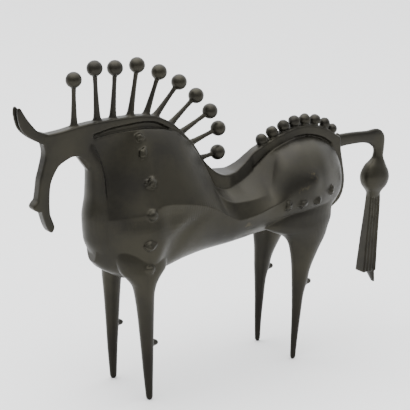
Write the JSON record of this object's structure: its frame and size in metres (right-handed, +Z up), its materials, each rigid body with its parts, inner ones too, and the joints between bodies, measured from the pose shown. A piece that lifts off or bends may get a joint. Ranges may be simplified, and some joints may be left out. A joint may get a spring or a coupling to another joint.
{
  "type": "horse figurine",
  "caption": "Stylised standing horse in dark cast bronze with tapering legs, drooping head, fan mane of ball-tipped rods, beaded rump and tasselled tail.",
  "frame": {"origin": "centre of the figure's length and width, on the surface that the feet stand on", "axes": "+Z up, -X towards the head, +X towards the tail, -Y towards the horse's left side"},
  "size_m": [0.3052, 0.0658, 0.2312],
  "materials": {
    "bronze": "dark patinated bronze, satin, rubbed golden on the high points"
  },
  "bodies": {
    "root": {"horse": "bronze"}
  },
  "joints": []
}
